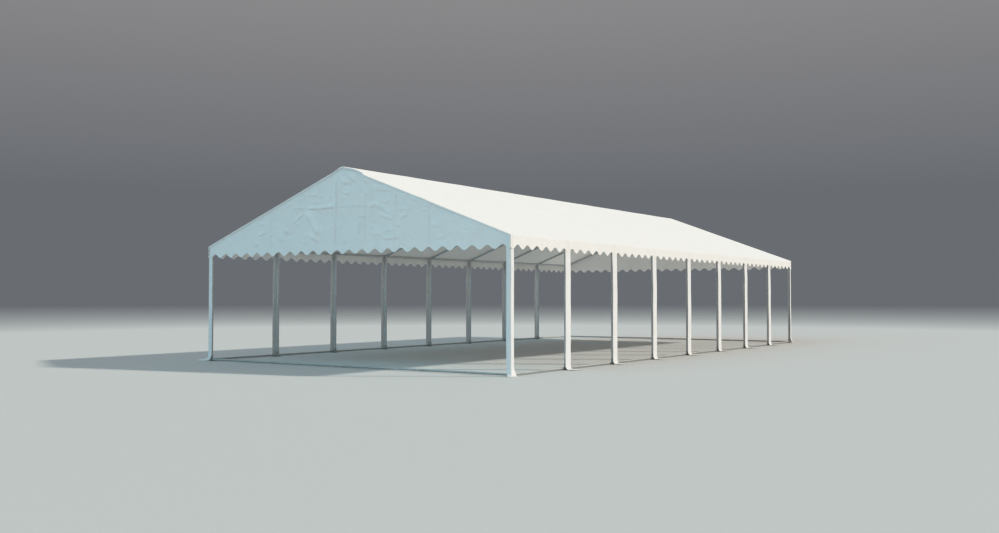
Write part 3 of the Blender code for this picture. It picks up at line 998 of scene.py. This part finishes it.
def crease_lines(n, place):
    """Fine bent lines of worn creases."""
    shift = n.add("ShaderNodeTexNoise", Vector=place, Scale=2, Detail=3).outputs["Color"]
    wander = n.vector_math("SCALE", shift, Scale=0.35).outputs[0]
    cracked = n.add("ShaderNodeTexVoronoi", Scale=2.6)
    cracked.feature = "DISTANCE_TO_EDGE"
    n.set(cracked, "Vector", n.vector_math("ADD", place, **{"1": wander}).outputs[0])
    return n.steps(cracked.outputs["Distance"], [(0, 1), (0.05, 0)])


def cloth_material(name, weave, tint=(1, 1, 1), gloss=(0.4, 0.52), level=0.42, puckers=1, seams=False,
                   foot_dirt=False):
    """White coated cloth: a woven scrim under a smooth skin that lets a little light through.

    weave names the two directions of the scrim, as weights of |x|, y and z. gloss is the range of the
    skin's roughness, level its specular level, and puckers how deep its small bumps are. seams adds the
    welds of the roof, over each frame and along the ridge, and foot_dirt what splashes up at the foot."""
    made, n, place = new_material(name)
    split = n.add("ShaderNodeSeparateXYZ", Vector=place)
    parts = (n.math("ABSOLUTE", split.outputs["X"]), split.outputs["Y"], split.outputs["Z"])

    # the whites times tint; on the roof the tint is painted warm sunlight
    whites = [tuple(white * t for t in tint) for white in WHITES]
    colour = n.mix(n.noise(place, 0.9, 5, 0.6), *whites)
    worn = n.steps(n.noise(place, 7, 4, 0.6), [(0.42, 1), (0.72, 0.965)])
    colour = n.mix(1, colour, worn, "MULTIPLY")
    streaks = n.noise(n.stretched(place, (3, 3, 0.35)), 2.2, 5, 0.65)
    colour = n.stained(colour, streaks, 0.55, 0.8, 0.1, YELLOWED)
    if foot_dirt:
        splash = n.times(n.noise(place, 24, 4, 0.7), 0.16)
        low = n.math("SUBTRACT", splash, parts[2])
        dirt = n.times(n.times(low, 9, clamp=True), 0.45)
        colour = n.mix(dirt, colour, FOOT_DIRT)
    if seams:
        to_frame = n.math("PINGPONG", parts[1], BAY / 2)
        edge = [(0.014, 1), (0.017, 0)]  # half the width of a weld
        welds = n.math("MAXIMUM", n.steps(to_frame, edge), n.steps(parts[0], edge))
        colour = n.mix(n.times(welds, 0.5), colour, WELD_TONE)

    normal = n.bump(n.noise(place, 3.2, 4, 0.55, 0.6), 0.55, 0.012 * puckers)
    normal = n.bump(crease_lines(n, place), 0.3, 0.003 * puckers, Normal=normal)
    normal = n.bump(scrim(n, parts, weave), 0.2, 0.00035, Normal=normal)
    if seams:
        normal = n.bump(welds, 0.5, 0.0012, Normal=normal)

    shine = n.steps(n.noise(place, 5), [(0.35, gloss[0]), (0.7, gloss[1])])
    skin = n.principled(Base_Color=colour, Roughness=shine, Normal=normal, Specular_IOR_Level=level,
                        Sheen_Weight=0.04)
    glow = n.add("ShaderNodeBsdfTranslucent", Color=colour, Normal=normal).outputs[0]
    n.surface(n.blended(LIGHT_THROUGH, skin, glow))
    return made


def metal(name, pattern, tones, gloss, metallic, stain=None, grain=None, flakes=0):
    """A metal or paint. Its colour and gloss follow one pattern, of which flakes are a share."""
    made, n, place = new_material(name)
    tone = n.noise(place, *pattern)
    if flakes:
        spangle = n.add("ShaderNodeTexVoronoi", Vector=place, Scale=85).outputs["Color"]
        flake = n.add("ShaderNodeSeparateColor", Color=spangle).outputs[0]
        tone = n.math("ADD", n.times(flake, flakes), n.times(tone, 1 - flakes))
    colour = n.steps(tone, tones)
    if stain:
        noise, *patches = stain
        colour = n.stained(colour, n.noise(place, *noise), *patches)
    inputs = {"Base_Color": colour, "Roughness": n.steps(tone, gloss), "Metallic": metallic}
    if grain:
        stretch, scale, *depth = grain
        inputs["Normal"] = n.bump(n.noise(n.stretched(place, stretch), scale), *depth)
    n.surface(n.principled(**inputs))
    return made


# pattern is (scale, detail, roughness) of a noise, and tones and gloss are stops on it. stain is such a noise
# and what Nodes.stained takes. grain is a noise's stretch and scale, and its bumps' strength and distance.
METALS = {
    "galvanised_steel": dict(
        pattern=(6, 4, 0.6), flakes=0.35, metallic=0.7,
        tones=[(0.25, (0.44, 0.46, 0.47)), (0.75, (0.64, 0.66, 0.67))], gloss=[(0.2, 0.34), (0.8, 0.5)],
        stain=((14, 5, 0.7), 0.6, 0.78, 0.25, (0.36, 0.33, 0.29)),
        grain=((40, 40, 3), 6, 0.15, 0.0006),
    ),
    "zinc_bolts": dict(
        pattern=(180, 3, 0.6), metallic=1,
        tones=[(0.35, (0.34, 0.34, 0.33)), (0.7, (0.62, 0.62, 0.6))], gloss=[(0.3, 0.28), (0.7, 0.45)],
    ),
    "dark_paint": dict(
        pattern=(60, 5, 0.7), metallic=0,
        tones=[(0.3, (0.03, 0.032, 0.034)), (0.66, (0.055, 0.056, 0.056)), (0.74, (0.22, 0.21, 0.2))],
        gloss=[(0.3, 0.48), (0.75, 0.62)], grain=((1, 1, 1), 220, 0.25, 0.0006),
    ),
    "dull_steel": dict(  # it has lain on the ground for a few seasons
        pattern=(9, 5, 0.65), metallic=0.55,
        tones=[(0.3, (0.32, 0.335, 0.33)), (0.7, (0.47, 0.485, 0.48))], gloss=[(0.3, 0.45), (0.7, 0.62)],
        stain=((26, 5, 0.7), 0.55, 0.75, 0.35, (0.22, 0.19, 0.14)), grain=((1, 1, 1), 120, 0.2, 0.0005),
    ),
}


# Stage, light and camera

HORIZON = (0.14, 0.152, 0.168)
OVERHEAD = (0.5, 0.455, 0.44)
FLOOR_TONE = (0.5, 0.51, 0.51)
FLOOR_RADIUS = 160
FADE_START = 24  # from here out the floor fades into the background

CAMERA_PLACE = (13.806, -23.008, 1.427)
CAMERA_TILT = 91.768  # degrees up from straight down
CAMERA_TURN = 33.764  # degrees, from looking along +Y towards -X
CAMERA_LENS = 35.833

# Brightness in the scene and on the picture. Up to 0.6 they are the same, and above it whites roll off.
RESPONSE = [
    (0, 0), (0.3, 0.3), (0.6, 0.6), (0.8, 0.778), (0.9, 0.85), (1, 0.9), (1.15, 0.948), (1.3, 0.976),
    (1.6, 1),
]


def make_floor():
    """A pale floor, which fades into the background far out."""
    shape = bmesh.new()
    bmesh.ops.create_circle(shape, cap_ends=True, segments=96, radius=FLOOR_RADIUS)
    floor = in_scene("floor", mesh_from("floor", shape))
    floor.location.z = -0.0005
    floor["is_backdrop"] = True

    made, n, place = new_material("pale_floor")
    tones = [tuple(share * c for c in FLOOR_TONE) for share in (0.97, 1.03)]
    colour = n.mix(n.noise(place, 30, 4, 0.6), *tones)
    skin = n.principled(Base_Color=colour, Roughness=0.85, Specular_IOR_Level=0.2)
    nearness = n.math("DIVIDE", FADE_START, n.vector_math("LENGTH", place).outputs["Value"])
    away = n.math("DIVIDE", n.math("SUBTRACT", 1, nearness), 1 - FADE_START / FLOOR_RADIUS, clamp=True)
    n.surface(n.blended(away, skin, n.add("ShaderNodeBsdfTransparent").outputs[0]))
    floor.data.materials.append(made)


def make_world():
    world = bpy.data.worlds.new("studio")
    bpy.context.scene.world = world
    world.use_nodes = True
    n = Nodes(world.node_tree)
    way = n.add("ShaderNodeTexCoord").outputs["Generated"]
    height = n.add("ShaderNodeSeparateXYZ", Vector=way).outputs["Z"]
    colour = n.steps(height, [(0.1, HORIZON), (0.7, OVERHEAD)])
    back = n.add("ShaderNodeBackground", Color=colour, Strength=1)
    n.add("ShaderNodeOutputWorld", Surface=back.outputs[0])


def sun_lamp(name, toward, strength, colour, angle):
    lamp = bpy.data.lights.new(name, "SUN")
    lamp.energy = strength
    lamp.color = colour
    lamp.angle = math.radians(angle)
    in_scene(name, lamp).rotation_euler = Vector(toward).to_track_quat("Z", "Y").to_euler()


def make_lights():
    """A warm light from behind on the right, and a broad cool one from the front."""
    sun_lamp("key", toward=(1.27, 0.77, 1), strength=3.16, colour=(1, 0.95, 0.84), angle=3)
    sun_lamp("front_fill", toward=(-0.45, -1, 0.8), strength=1.17, colour=(0.25, 0.79, 1), angle=50)


def make_camera():
    """The photograph was taken from low down, off the front right corner."""
    eye = bpy.data.cameras.new("camera")
    eye.lens = CAMERA_LENS
    eye.clip_end = 1000
    camera = in_scene("camera", eye)
    camera.location = CAMERA_PLACE
    camera.rotation_euler = (math.radians(CAMERA_TILT), 0, math.radians(CAMERA_TURN))
    bpy.context.scene.camera = camera


def soften_highlights():
    """White cloth in the sun keeps its folds instead of burning out."""
    view = bpy.context.scene.view_settings
    view.view_transform = "Standard"
    view.use_curve_mapping = True
    mapping = view.curve_mapping
    brightest = RESPONSE[-1][0]
    mapping.white_level = (brightest,) * 3
    combined = mapping.curves[3]
    for place, value in RESPONSE[1:-1]:
        combined.points.new(place / brightest, value)
    mapping.update()


def main():
    soften_highlights()
    roof_weave = ((0, 1, 0), ((1 - math.sin(SLOPE)) / math.cos(SLOPE), 0, -1))
    # the roof's cloth carries painted warm sunlight in its tint
    roof_cloth = cloth_material(
        "roof_cloth", roof_weave, tint=ROOF_PAINTED_SUN_WARMTH, gloss=(0.6, 0.72), level=0.15, puckers=1.8, seams=True
    )
    gable_cloth = cloth_material("gable_cloth", ((1, 0, 0), (0, 0, 1)))
    cover_cloth = cloth_material("cover_cloth", ((1, 1, 0), (0, 0, 1)), foot_dirt=True)
    galvanised, zinc, paint, dull = [metal(name, **look) for name, look in METALS.items()]

    for tube, makers in ((galvanised, (posts, beams, arches, purlin)), (dull, (side_rails, end_rails))):
        for maker in makers:
            for name, shape, node in maker():
                steel_object(name, shape, node, [tube, zinc, paint])
    make_roof(roof_cloth)
    for end in ENDS:
        make_gable(end, gable_cloth)
    for side in SIDES:
        for i in FRAMES:
            make_cover = make_corner_cover if i in (FRAMES[0], FRAMES[-1]) else make_straight_cover
            make_cover(side, i, cover_cloth)
    make_floor()
    make_world()
    make_lights()
    make_camera()


main()
boxes = {"cad": cad_box, "scene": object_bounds()}
{name: [list(corner) for corner in box] for name, box in boxes.items()}
